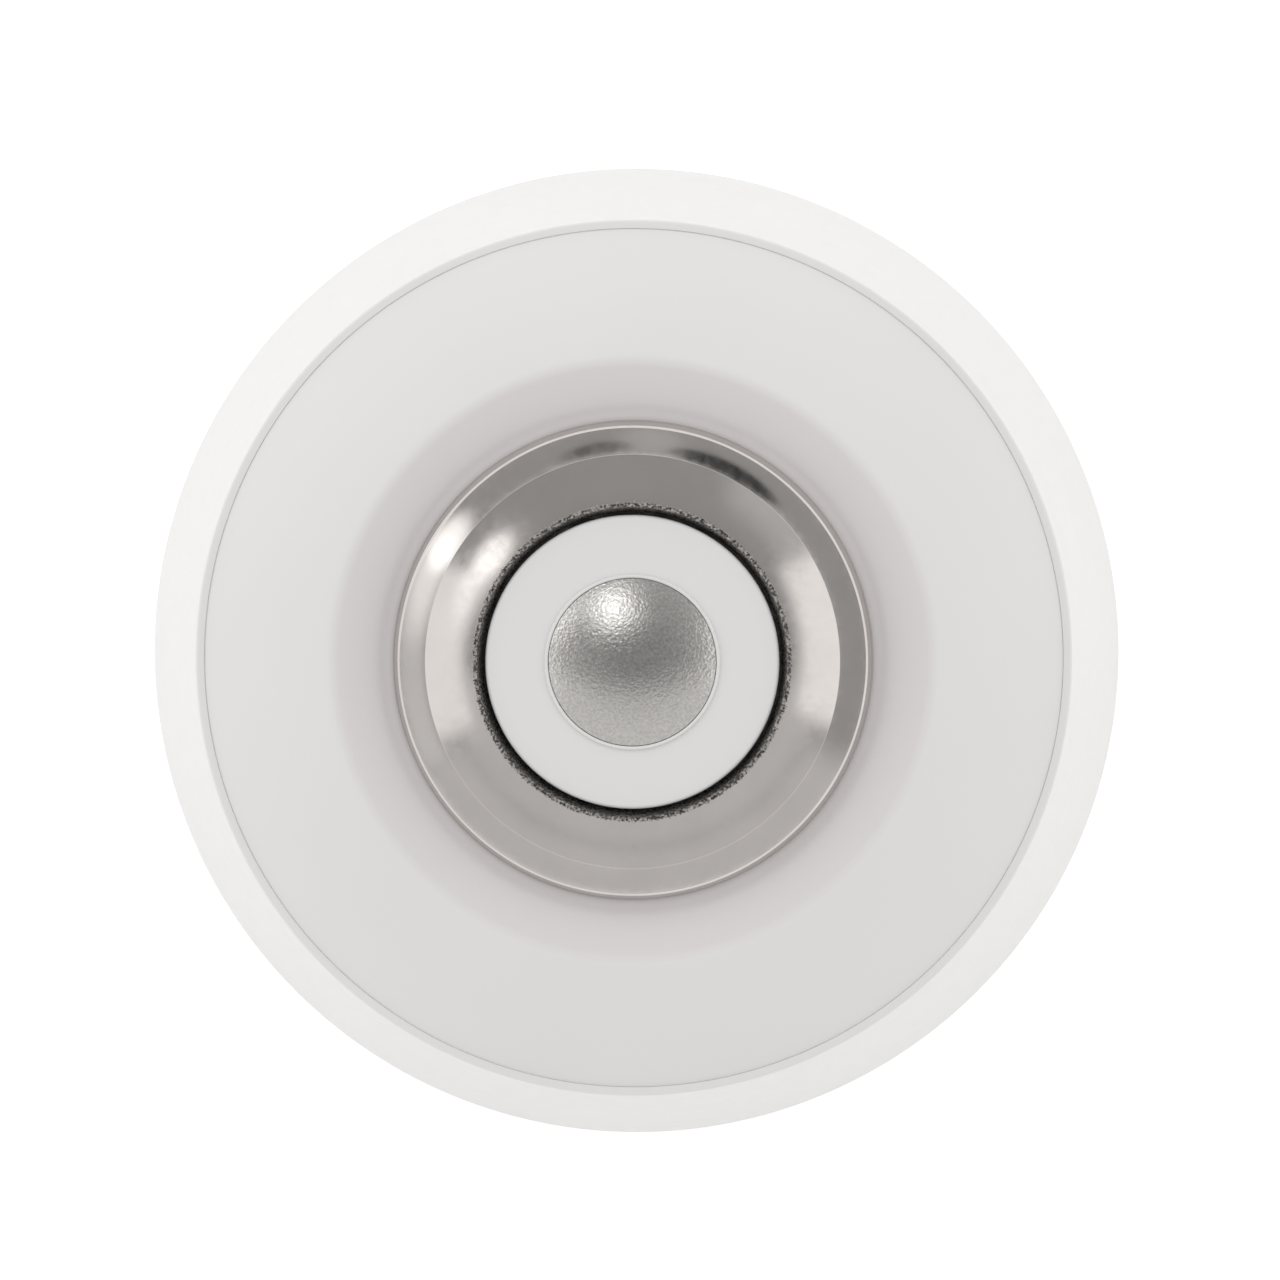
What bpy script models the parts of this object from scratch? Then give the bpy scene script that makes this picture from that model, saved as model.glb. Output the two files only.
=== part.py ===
"""Countertop magnetic detacher for security tags.

A low round puck.  A tapered skirt and a domed crown close on a steel base
plate.  Inside, a steel yoke cup holds two ring magnets and a pole washer, and
a plated seat ring stands on them through the crown.  A spring-loaded plunger
(cap, pole dome, centre magnet and stem) runs down the middle.

Units are metres.  Z = 0 is the face that rests on the counter, and the Z axis
is the axis of the puck.
"""
import math

import bmesh
import bpy

MM = 0.001
GAP = 0.3 * MM            # space left between pieces that touch or run together

# Envelope
BASE_R = 50.0 * MM        # skirt at its widest
RIM_Z = 1.2 * MM          # underside of the skirt, clear of the counter
SIDE_Z = 2.6 * MM         # where the skirt's upright rim turns into its tapered side
TOP_EDGE_R = 43.5 * MM    # parting line between skirt and crown
TOP_EDGE_Z = 23.0 * MM
CROWN_TOP_R = 30.0 * MM   # where the crown turns down into its moat
CROWN_TOP_Z = 28.7 * MM
MOAT_Z = 27.0 * MM        # flat that the seat ring stands on
LAND_Z = 33.0 * MM        # flat top of the seat ring
WALL = 2.4 * MM           # moulded wall thickness
PARTING_LIP_H = 1.4 * MM  # height of the lip that seats the crown in the skirt

# Base
FOOT_H = 2.2 * MM
FOOT_INNER_R = 41.6 * MM
FOOT_OUTER_R = 46.4 * MM
PLATE_Z0 = FOOT_H + GAP
PLATE_Z1 = PLATE_Z0 + 2.5 * MM
PLATE_R = 46.8 * MM
PLATE_BORE_R = 7.5 * MM   # lets the plunger's stem down
BOSS_PCR = 37.7 * MM      # circle of the four screws that close the housing
BOSS_R = 3.0 * MM
BOSS_TOP_Z = 23.6 * MM    # inside the crown's wall
BOSS_POCKET_H = 7.2 * MM  # takes the insert and the screw's tip
INSERT_R = 2.3 * MM
INSERT_H = 5.0 * MM
YOKE_SCREW_PCR = 24.0 * MM
BASE_SCREW_HEAD_R = 3.0 * MM
BASE_SCREW_SHANK_R = 1.5 * MM
BASE_SCREW_TIP_Z = 11.5 * MM
YOKE_SCREW_HEAD_R = 3.6 * MM
YOKE_SCREW_SHANK_R = 1.9 * MM
YOKE_SCREW_TIP_Z = 8.0 * MM

# Magnet stack
YOKE_R = 34.0 * MM
YOKE_Z0 = PLATE_Z1 + GAP
YOKE_FLOOR = 3.0 * MM
YOKE_WALL = 2.5 * MM
YOKE_Z1 = 20.0 * MM
YOKE_BORE_R = 5.8 * MM    # holds the stem's bush
MAGNET_R = 29.5 * MM
MAGNET_BORE_R = 12.6 * MM
MAGNET_H = 5.0 * MM
STACK_Z = YOKE_Z0 + YOKE_FLOOR + GAP
UPPER_Z = STACK_Z + MAGNET_H + GAP
POLE_Z0 = UPPER_Z + MAGNET_H + GAP
POLE_Z1 = POLE_Z0 + 2.5 * MM

# Seat ring
SEAT_R = 24.0 * MM
BORE_R = 15.4 * MM
SPIGOT_R = 21.5 * MM
SPIGOT_Z = POLE_Z1 + GAP
SHOULDER_R = 23.5 * MM    # where the rounded top meets the upright edge
SHOULDER_Z = LAND_Z - 3.6 * MM
LAND_OUTER_R = 17.0 * MM  # where the flat top starts to fall away
NUT_R = 26.5 * MM

# Plunger
CAP_R = 14.6 * MM
CAP_TOP_Z = 32.4 * MM
CAP_UNDER_Z = 27.9 * MM
NECK_R = 9.5 * MM
NECK_Z = 14.5 * MM
CAP_FLOOR_Z = NECK_Z + 2.5 * MM
MAGNET_POCKET_R = 7.3 * MM
DOME_R = 8.7 * MM
DOME_SPHERE_R = 34.0 * MM
DOME_SEAT_Z = 31.0 * MM
DOME_EDGE_R = DOME_R - 0.3 * MM
DOME_EDGE_Z = CAP_TOP_Z + 0.2 * MM
STEM_R = 3.0 * MM
STEM_HEAD_R = 6.5 * MM
STEM_HEAD_H = 1.5 * MM
STEM_GROOVE_R = 2.2 * MM
STEM_END_Z = 4.6 * MM
CLIP_Z = 5.4 * MM
CLIP_H = 0.8 * MM
CLIP_R = 4.8 * MM
WASHER_Z = CLIP_Z + CLIP_H + GAP
WASHER_H = 0.8 * MM
WASHER_R = 5.3 * MM
BUSH_Z = WASHER_Z + WASHER_H + GAP
SLEEVE_TOP_Z = 18.0 * MM
SPRING_R = 11.0 * MM      # to the middle of the wire
SPRING_WIRE_R = 0.5 * MM
SPRING_TURNS = 4.5

# Facets around each turned piece
WIDE = 48
MEDIUM = 32
NARROW = 24
SMALL = 16

PARTS = "security_tag_detacher"
CUTTERS = "cutters"


# ---------------------------------------------------------------- scene setup
def clear_scene():
    for obj in list(bpy.data.objects):
        bpy.data.objects.remove(obj, do_unlink=True)


def collection(name):
    found = bpy.data.collections.get(name)
    if found is None:
        found = bpy.data.collections.new(name)
        bpy.context.scene.collection.children.link(found)
    return found


def material(name, colour, roughness, metallic=0.0):
    mat = bpy.data.materials.new(name)
    mat.use_nodes = True
    shader = mat.node_tree.nodes["Principled BSDF"]
    shader.inputs["Base Color"].default_value = (*colour, 1.0)
    shader.inputs["Roughness"].default_value = roughness
    shader.inputs["Metallic"].default_value = metallic
    mat.diffuse_color = (*colour, 1.0)
    return mat


# --------------------------------------------------------------- shape tools
def arc(centre_r, centre_z, radius, start_deg, end_deg, steps):
    """Points (r, z) along a round stretch of a profile."""
    points = []
    for i in range(steps + 1):
        angle = math.radians(start_deg + (end_deg - start_deg) * i / steps)
        r = centre_r + radius * math.cos(angle)
        points.append((r, centre_z + radius * math.sin(angle)))
    return points


def bowed(start, end, bow_deg, steps):
    """Points on a round stretch from start to end.

    The tangent turns by twice bow_deg along it.  The stretch bulges to the
    left of its direction, or to the right where bow_deg is negative.
    """
    (r0, z0), (r1, z1) = start, end
    chord = math.hypot(r1 - r0, z1 - z0)
    radius = chord / (2 * math.sin(math.radians(bow_deg)))
    drop = radius * math.cos(math.radians(bow_deg))
    mid_r = (r0 + r1) / 2
    mid_z = (z0 + z1) / 2
    left_r = -(z1 - z0) / chord
    left_z = (r1 - r0) / chord
    centre_r = mid_r - left_r * drop
    centre_z = mid_z - left_z * drop
    first = math.degrees(math.atan2(z0 - centre_z, r0 - centre_r))
    return arc(centre_r, centre_z, abs(radius), first, first - 2 * bow_deg, steps)


def add_mesh(name, mesh, group=PARTS):
    obj = bpy.data.objects.new(name, mesh)
    collection(group).objects.link(obj)
    return obj


def turned(name, profile, facets, mat=None, closed=True, group=PARTS):
    """A turned piece: the (r, z) profile carried round Z by a Screw modifier.

    The profile runs down its outer side, top to bottom.  A closed profile is
    a ring.  An open one starts and ends on the axis and makes a solid piece.
    """
    mesh = bpy.data.meshes.new(name)
    points = [(r, 0.0, z) for r, z in profile]
    count = len(points)
    edges = [(i, i + 1) for i in range(count - 1)]
    if closed:
        edges.append((count - 1, 0))
    mesh.from_pydata(points, edges, [])
    obj = add_mesh(name, mesh, group)
    if mat is not None:
        mesh.materials.append(mat)
    screw = obj.modifiers.new("turn", 'SCREW')
    screw.axis = 'Z'
    screw.angle = math.tau
    screw.steps = facets
    screw.render_steps = facets
    screw.use_merge_vertices = True
    screw.merge_threshold = 1e-6
    screw.use_smooth_shade = True
    screw.use_normal_calculate = False
    return obj


def cutter(obj):
    obj.hide_render = True
    obj.display_type = 'WIRE'
    return obj


def turned_tool(name, profile, x, y, facets=SMALL):
    """A turned solid for a Boolean, with its axis at (x, y)."""
    obj = cutter(turned(name, profile, facets, closed=False, group=CUTTERS))
    obj.location = (x, y, 0.0)
    return obj


def straight_tool(name, radius, z0, z1, x, y, facets=SMALL):
    profile = [(0.0, z1), (radius, z1), (radius, z0), (0.0, z0)]
    return turned_tool(name, profile, x, y, facets)


def box_cutter(name, size, centre, angle=0.0):
    mesh = bpy.data.meshes.new(name)
    shape = bmesh.new()
    bmesh.ops.create_cube(shape, size=1.0)
    bmesh.ops.scale(shape, vec=size, verts=shape.verts)
    shape.to_mesh(mesh)
    shape.free()
    obj = cutter(add_mesh(name, mesh, CUTTERS))
    obj.location = centre
    obj.rotation_euler = (0.0, 0.0, angle)
    return obj


def cut(obj, tool, operation='DIFFERENCE'):
    boolean = obj.modifiers.new(tool.name, 'BOOLEAN')
    boolean.operation = operation
    boolean.object = tool
    boolean.solver = 'EXACT'
    return obj


def around(count, radius, start_deg=0.0):
    """Places spaced evenly on a circle: (number, x, y, angle)."""
    for i in range(count):
        angle = math.radians(start_deg) + math.tau * i / count
        yield i + 1, radius * math.cos(angle), radius * math.sin(angle), angle


# --------------------------------------------------------------------- base
def foot_ring(mat):
    soft = 0.6 * MM
    profile = [
        (FOOT_INNER_R, FOOT_H),
        (FOOT_OUTER_R, FOOT_H),
        (FOOT_OUTER_R, soft),
        (FOOT_OUTER_R - soft, 0.0),
        (FOOT_INNER_R + soft, 0.0),
        (FOOT_INNER_R, soft),
    ]
    return turned("foot_ring", profile, WIDE, mat)


def countersunk_hole(name, head_r, shank_r, x, y):
    """A screw's hole through the base plate, wider by GAP than the screw."""
    depth = head_r - shank_r
    low = PLATE_Z0 - 1.0 * MM
    high = PLATE_Z1 + 1.0 * MM
    wide = head_r + 1.6 * GAP
    narrow = shank_r + 1.2 * GAP
    turn_z = PLATE_Z0 + 0.5 * MM
    profile = [
        (0.0, high),
        (narrow, high),
        (narrow, turn_z + depth),
        (wide, turn_z),
        (wide, low),
        (0.0, low),
    ]
    return turned_tool(name, profile, x, y)


def base_plate(mat):
    edge = 0.4 * MM
    profile = [
        (PLATE_BORE_R, PLATE_Z1),
        (PLATE_R, PLATE_Z1),
        (PLATE_R, PLATE_Z0 + edge),
        (PLATE_R - edge, PLATE_Z0),
        (PLATE_BORE_R, PLATE_Z0),
    ]
    plate = turned("base_plate", profile, WIDE, mat)
    for i, x, y, _ in around(4, BOSS_PCR, 45.0):
        tool = countersunk_hole(f"cut_base_screw_{i}", BASE_SCREW_HEAD_R, BASE_SCREW_SHANK_R, x, y)
        cut(plate, tool)
    for i, x, y, _ in around(3, YOKE_SCREW_PCR, 90.0):
        tool = countersunk_hole(f"cut_yoke_screw_{i}", YOKE_SCREW_HEAD_R, YOKE_SCREW_SHANK_R, x, y)
        cut(plate, tool)
    return plate


def countersunk_screw(name, head_r, shank_r, tip_z, place, mat):
    x, y, angle = place
    face = PLATE_Z0 + 0.2 * MM
    lip = PLATE_Z0 + 0.4 * MM
    cone = lip + head_r - shank_r
    profile = [
        (0.0, tip_z),
        (shank_r * 0.7, tip_z),
        (shank_r, tip_z - 0.5 * MM),
        (shank_r, cone),
        (head_r, lip),
        (head_r, face),
        (0.0, face),
    ]
    screw = turned(name, profile, SMALL, mat, closed=False)
    screw.location = (x, y, 0.0)
    slot_w = 0.9 * MM
    slot_l = head_r * 1.1
    slot_h = 2.4 * MM
    for k in range(2):
        turn = angle + k * math.pi / 2
        tool = box_cutter(f"{name}_slot_{k + 1}", (slot_l, slot_w, slot_h), (x, y, face), turn)
        cut(screw, tool)
    return screw


# ------------------------------------------------------------------ housing
def skirt(mat):
    draft = (BASE_R - TOP_EDGE_R) / (TOP_EDGE_Z - SIDE_Z)

    def inside(z):
        return BASE_R - draft * (z - SIDE_Z) - WALL

    soft = 0.3 * MM
    chamfer = 0.4 * MM
    shoulder_r = TOP_EDGE_R + 0.7 * MM
    shoulder_z = TOP_EDGE_Z - 1.0 * MM
    plate_clear_r = PLATE_R + GAP
    ledge_z = PLATE_Z1 + GAP
    ledge_r = plate_clear_r - 1.9 * MM
    ledge_top_z = ledge_z + 1.8 * MM
    wall_z0 = ledge_z + 2.6 * MM
    lip_z = TOP_EDGE_Z - PARTING_LIP_H
    lip_r = TOP_EDGE_R - 1.9 * MM
    wall_z1 = lip_z - 1.4 * MM
    profile = [(TOP_EDGE_R, TOP_EDGE_Z - 0.2 * MM)]
    profile += arc(TOP_EDGE_R + soft, TOP_EDGE_Z - soft, soft, 110.0, 20.0, 2)
    profile += [
        (shoulder_r, shoulder_z),
        (BASE_R, SIDE_Z),
        (BASE_R, RIM_Z + chamfer),
        (BASE_R - chamfer, RIM_Z),
        (plate_clear_r, RIM_Z),
        (plate_clear_r, ledge_z),
        (ledge_r, ledge_z),
        (ledge_r, ledge_top_z),
        (inside(wall_z0), wall_z0),
        (inside(wall_z1), wall_z1),
        (lip_r, lip_z - 0.9 * MM),
        (lip_r, lip_z),
        (TOP_EDGE_R, lip_z),
    ]
    return turned("skirt", profile, WIDE, mat)


def crown(mat):
    edge_r = TOP_EDGE_R - GAP
    seat_z = TOP_EDGE_Z - PARTING_LIP_H + GAP
    hole_r = SPIGOT_R + GAP
    under = CROWN_TOP_Z - WALL
    profile = [(hole_r, MOAT_Z), (SEAT_R + 0.6 * MM, MOAT_Z)]
    cove_start = (SEAT_R + 1.2 * MM, MOAT_Z + 0.1 * MM)
    cove_end = (CROWN_TOP_R - 1.4 * MM, CROWN_TOP_Z - 0.15 * MM)
    profile += bowed(cove_start, cove_end, -8.0, 2)
    profile += bowed((CROWN_TOP_R, CROWN_TOP_Z), (edge_r, TOP_EDGE_Z - 0.1 * MM), 11.0, 5)
    profile += [
        (edge_r, seat_z),
        (edge_r - 2.2 * MM, seat_z),
        (edge_r - 2.9 * MM, seat_z + 0.4 * MM),
        (CROWN_TOP_R + 4.5 * MM, under - 1.6 * MM),
        (CROWN_TOP_R - 1.0 * MM, under - 0.5 * MM),
        (hole_r + 1.0 * MM, MOAT_Z - WALL),
        (hole_r, MOAT_Z - WALL),
    ]
    cover = turned("crown", profile, WIDE, mat)
    boss_low = PLATE_Z1 + GAP
    pocket_low = boss_low - 1.0 * MM
    pocket_top = boss_low + BOSS_POCKET_H
    for i, x, y, _ in around(4, BOSS_PCR, 45.0):
        cut(cover, straight_tool(f"add_boss_{i}", BOSS_R, boss_low, BOSS_TOP_Z, x, y), 'UNION')
        cut(cover, straight_tool(f"cut_boss_{i}", INSERT_R + GAP, pocket_low, pocket_top, x, y))
    return cover


def threaded_insert(name, x, y, mat):
    bore = BASE_SCREW_SHANK_R + GAP
    low = PLATE_Z1 + 2 * GAP
    high = low + INSERT_H
    profile = [(bore, high), (INSERT_R, high), (INSERT_R, low), (bore, low)]
    insert = turned(name, profile, SMALL, mat)
    insert.location = (x, y, 0.0)
    return insert


# ------------------------------------------------------------- magnet stack
def yoke_cup(mat):
    floor_z = YOKE_Z0 + YOKE_FLOOR
    edge = 0.5 * MM
    profile = [
        (YOKE_R - YOKE_WALL, YOKE_Z1),
        (YOKE_R - edge, YOKE_Z1),
        (YOKE_R, YOKE_Z1 - edge),
        (YOKE_R, YOKE_Z0 + edge),
        (YOKE_R - edge, YOKE_Z0),
        (YOKE_BORE_R, YOKE_Z0),
        (YOKE_BORE_R, floor_z),
        (YOKE_R - YOKE_WALL, floor_z),
    ]
    cup = turned("yoke_cup", profile, WIDE, mat)
    hole_r = YOKE_SCREW_SHANK_R + GAP
    hole_low = YOKE_Z0 - 1.0 * MM
    hole_high = floor_z + 1.0 * MM
    for i, x, y, _ in around(3, YOKE_SCREW_PCR, 90.0):
        cut(cup, straight_tool(f"cut_yoke_{i}", hole_r, hole_low, hole_high, x, y))
    return cup


def ring_magnet(name, low, mat):
    high = low + MAGNET_H
    profile = [(MAGNET_BORE_R, high), (MAGNET_R, high), (MAGNET_R, low), (MAGNET_BORE_R, low)]
    return turned(name, profile, WIDE, mat)


def centring_ring(mat):
    inner = MAGNET_R + GAP
    outer = YOKE_R - YOKE_WALL - GAP
    high = POLE_Z0 - GAP
    profile = [(inner, high), (outer, high), (outer, STACK_Z), (inner, STACK_Z)]
    return turned("magnet_centring_ring", profile, WIDE, mat)


def pole_washer(mat):
    inner = BORE_R + GAP
    profile = [(inner, POLE_Z1), (MAGNET_R, POLE_Z1), (MAGNET_R, POLE_Z0), (inner, POLE_Z0)]
    return turned("pole_washer", profile, WIDE, mat)


def guide_sleeve(mat):
    inner = NECK_R + GAP
    outer = MAGNET_BORE_R - GAP
    lead = 0.4 * MM
    profile = [
        (inner + lead, SLEEVE_TOP_Z),
        (outer, SLEEVE_TOP_Z),
        (outer, STACK_Z),
        (inner, STACK_Z),
        (inner, SLEEVE_TOP_Z - lead),
    ]
    return turned("guide_sleeve", profile, MEDIUM, mat)


def stem_bush(mat):
    inner = STEM_R + GAP
    flange_r = NECK_R - 0.2 * MM
    flange_z = STACK_Z + 1.5 * MM
    neck_r = YOKE_BORE_R - GAP
    profile = [
        (inner, flange_z),
        (flange_r, flange_z),
        (flange_r, STACK_Z),
        (neck_r, STACK_Z),
        (neck_r, BUSH_Z),
        (inner, BUSH_Z),
    ]
    return turned("stem_bush", profile, MEDIUM, mat)


# ---------------------------------------------------------------- seat ring
def seat_ring(mat):
    """The plated ring: a flat land, a rounded fall, an edge and a spigot."""
    under = MOAT_Z + GAP
    lead = 0.4 * MM
    groove_in = SPIGOT_R + 0.1 * MM
    groove_out = SEAT_R - 0.6 * MM
    groove_z = under + 1.0 * MM
    profile = [(BORE_R + lead, LAND_Z)]
    profile += bowed((LAND_OUTER_R, LAND_Z), (SHOULDER_R, SHOULDER_Z), 22.0, 6)
    profile += [
        (SEAT_R, under + 0.3 * MM),
        (SEAT_R, under),
        (groove_out, under),
        (groove_out, groove_z),
        (groove_in, groove_z),
        (SPIGOT_R, under),
        (SPIGOT_R, SPIGOT_Z),
        (BORE_R, SPIGOT_Z),
        (BORE_R, LAND_Z - lead),
    ]
    return turned("seat_ring", profile, WIDE, mat)


def seat_gasket(mat):
    inner = SPIGOT_R + 0.5 * MM
    outer = 23.0 * MM
    low = MOAT_Z + GAP
    high = low + 0.6 * MM
    profile = [(inner, high), (outer, high), (outer, low), (inner, low)]
    return turned("seat_gasket", profile, WIDE, mat)


def clamp_nut(mat):
    """A round nut with four slots for its spanner."""
    inner = SPIGOT_R + GAP
    high = MOAT_Z - WALL - GAP
    low = POLE_Z1 + 2 * GAP
    slot = (2.4 * MM, 3.0 * MM, 8.0 * MM)
    profile = [(inner, high), (NUT_R, high), (NUT_R, low), (inner, low)]
    nut = turned("clamp_nut", profile, WIDE, mat)
    for i, x, y, angle in around(4, NUT_R):
        cut(nut, box_cutter(f"cut_nut_{i}", slot, (x, y, (low + high) / 2), angle))
    return nut


# ------------------------------------------------------------------ plunger
def plunger_cap(mat):
    """The white disc and its guide neck, hollow for the dome and the magnet."""
    edge = 0.5 * MM
    chamfer = 0.4 * MM
    dome_pocket_r = DOME_R + GAP
    dome_pocket_z = DOME_SEAT_Z - GAP
    stem_hole = STEM_R + GAP
    profile = [(dome_pocket_r, CAP_TOP_Z)]
    profile += arc(CAP_R - edge, CAP_TOP_Z - edge, edge, 90.0, 0.0, 2)
    profile += [
        (CAP_R, CAP_UNDER_Z + edge),
        (CAP_R - edge, CAP_UNDER_Z),
        (NECK_R, CAP_UNDER_Z),
        (NECK_R, NECK_Z + chamfer),
        (NECK_R - chamfer, NECK_Z),
        (stem_hole, NECK_Z),
        (stem_hole, CAP_FLOOR_Z),
        (MAGNET_POCKET_R, CAP_FLOOR_Z),
        (MAGNET_POCKET_R, dome_pocket_z),
        (dome_pocket_r, dome_pocket_z),
    ]
    return turned("plunger_cap", profile, WIDE, mat)


def plunger_dome(mat):
    """A low spherical cap on a short cylinder."""
    sphere_z = DOME_EDGE_Z - math.sqrt(DOME_SPHERE_R ** 2 - DOME_EDGE_R ** 2)
    edge_deg = math.degrees(math.acos(DOME_EDGE_R / DOME_SPHERE_R))
    profile = arc(0.0, sphere_z, DOME_SPHERE_R, 90.0, edge_deg, 6)
    profile[0] = (0.0, sphere_z + DOME_SPHERE_R)
    profile += [(DOME_R, CAP_TOP_Z - 0.1 * MM), (DOME_R, DOME_SEAT_Z), (0.0, DOME_SEAT_Z)]
    return turned("plunger_dome", profile, WIDE, mat, closed=False)


def centre_magnet(mat):
    radius = MAGNET_POCKET_R - GAP
    high = DOME_SEAT_Z - 2 * GAP
    low = CAP_FLOOR_Z + GAP + STEM_HEAD_H + GAP
    profile = [(0.0, high), (radius, high), (radius, low), (0.0, low)]
    return turned("centre_magnet", profile, MEDIUM, mat, closed=False)


def plunger_stem(mat):
    """A headed stem with a groove for its clip."""
    head_low = CAP_FLOOR_Z + GAP
    head_high = head_low + STEM_HEAD_H
    chamfer = 0.3 * MM
    groove_low = CLIP_Z - GAP
    groove_high = CLIP_Z + CLIP_H + GAP
    profile = [
        (0.0, head_high),
        (STEM_HEAD_R, head_high),
        (STEM_HEAD_R, head_low),
        (STEM_R, head_low),
        (STEM_R, groove_high),
        (STEM_GROOVE_R, groove_high),
        (STEM_GROOVE_R, groove_low),
        (STEM_R, groove_low),
        (STEM_R, STEM_END_Z + chamfer),
        (STEM_R - chamfer, STEM_END_Z),
        (0.0, STEM_END_Z),
    ]
    return turned("plunger_stem", profile, NARROW, mat, closed=False)


def retaining_clip(mat):
    """A flat clip with a mouth that pushes onto the stem's groove."""
    inner = STEM_GROOVE_R + GAP
    high = CLIP_Z + CLIP_H
    profile = [(inner, high), (CLIP_R, high), (CLIP_R, CLIP_Z), (inner, CLIP_Z)]
    clip = turned("retaining_clip", profile, NARROW, mat)
    mouth = (8.0 * MM, 3.8 * MM, 4.0 * MM)
    mouth_x = 4.6 * MM
    return cut(clip, box_cutter("cut_clip_mouth", mouth, (mouth_x, 0.0, CLIP_Z)))


def stop_washer(mat):
    inner = STEM_R + GAP
    high = WASHER_Z + WASHER_H
    profile = [(inner, high), (WASHER_R, high), (WASHER_R, WASHER_Z), (inner, WASHER_Z)]
    return turned("stop_washer", profile, NARROW, mat)


def return_spring(mat):
    """A coil round the plunger's neck, with one nearly closed turn at each end."""
    per_turn = 16
    closed_pitch = 2.3 * SPRING_WIRE_R
    low = SLEEVE_TOP_Z + GAP + SPRING_WIRE_R
    high = CAP_UNDER_Z - GAP - SPRING_WIRE_R
    open_h = high - low - 2 * closed_pitch
    open_turns = SPRING_TURNS - 2.0
    curve = bpy.data.curves.new("return_spring", 'CURVE')
    curve.dimensions = '3D'
    curve.bevel_depth = SPRING_WIRE_R
    curve.bevel_resolution = 2
    curve.use_fill_caps = True
    spline = curve.splines.new('POLY')
    count = int(SPRING_TURNS * per_turn)
    spline.points.add(count)
    for i in range(count + 1):
        turn = i / per_turn
        first = min(turn, 1.0)
        last = max(turn - (SPRING_TURNS - 1.0), 0.0)
        middle = min(max(turn - 1.0, 0.0), open_turns) / open_turns
        z = low + closed_pitch * (first + last) + open_h * middle
        angle = math.tau * turn
        spline.points[i].co = (SPRING_R * math.cos(angle), SPRING_R * math.sin(angle), z, 1.0)
    obj = bpy.data.objects.new("return_spring", curve)
    curve.materials.append(mat)
    collection(PARTS).objects.link(obj)
    return obj


# --------------------------------------------------------------------- build
def build_base():
    zinc = material("zinc_plate", (0.62, 0.63, 0.64), 0.35, 1.0)
    rubber = material("foot_rubber", (0.05, 0.05, 0.05), 0.85)
    steel = material("screw_steel", (0.55, 0.56, 0.58), 0.35, 1.0)
    foot_ring(rubber)
    base_plate(zinc)
    for i, x, y, angle in around(4, BOSS_PCR, 45.0):
        name = f"base_screw_{i}"
        place = (x, y, angle)
        countersunk_screw(name, BASE_SCREW_HEAD_R, BASE_SCREW_SHANK_R, BASE_SCREW_TIP_Z, place, steel)
    for i, x, y, angle in around(3, YOKE_SCREW_PCR, 90.0):
        name = f"yoke_screw_{i}"
        place = (x, y, angle)
        countersunk_screw(name, YOKE_SCREW_HEAD_R, YOKE_SCREW_SHANK_R, YOKE_SCREW_TIP_Z, place, steel)


def build_housing():
    skirt(material("skirt_white", (0.86, 0.86, 0.85), 0.45))
    crown(material("crown_grey", (0.76, 0.75, 0.74), 0.5))
    brass = material("insert_brass", (0.72, 0.55, 0.28), 0.35, 1.0)
    for i, x, y, _ in around(4, BOSS_PCR, 45.0):
        threaded_insert(f"insert_{i}", x, y, brass)


def build_magnets():
    plated = material("magnet_plating", (0.66, 0.66, 0.64), 0.3, 1.0)
    mild_steel = material("yoke_steel", (0.42, 0.43, 0.45), 0.4, 1.0)
    yoke_cup(mild_steel)
    pole_washer(mild_steel)
    ring_magnet("ring_magnet_lower", STACK_Z, plated)
    ring_magnet("ring_magnet_upper", UPPER_Z, plated)
    centring_ring(material("centring_plastic", (0.16, 0.16, 0.17), 0.55))
    bronze = material("bearing_bronze", (0.60, 0.44, 0.24), 0.4, 1.0)
    guide_sleeve(bronze)
    stem_bush(bronze)


def build_seat():
    seat_ring(material("seat_nickel", (0.66, 0.64, 0.62), 0.25, 1.0))
    seat_gasket(material("gasket_rubber", (0.09, 0.09, 0.09), 0.8))
    clamp_nut(material("nut_steel", (0.52, 0.52, 0.53), 0.4, 1.0))


def build_plunger():
    plunger_cap(material("cap_white", (0.80, 0.79, 0.78), 0.4))
    plunger_dome(material("dome_steel", (0.56, 0.55, 0.54), 0.3, 1.0))
    centre_magnet(bpy.data.materials["magnet_plating"])
    bright = material("stem_steel", (0.60, 0.60, 0.61), 0.25, 1.0)
    plunger_stem(bright)
    stop_washer(bright)
    sprung = material("spring_steel", (0.34, 0.35, 0.37), 0.3, 1.0)
    retaining_clip(sprung)
    return_spring(sprung)


def main():
    clear_scene()
    build_base()
    build_housing()
    build_magnets()
    build_seat()
    build_plunger()


main()
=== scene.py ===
"""Looks of the countertop tag detacher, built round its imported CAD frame.

Every visible CAD node is replaced by a finer turned piece of the same size.
Units are metres.  Z is the puck's axis and Z = 0 is the counter.
"""
import math

import bmesh
import bpy
from mathutils import Matrix, Vector


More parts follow.
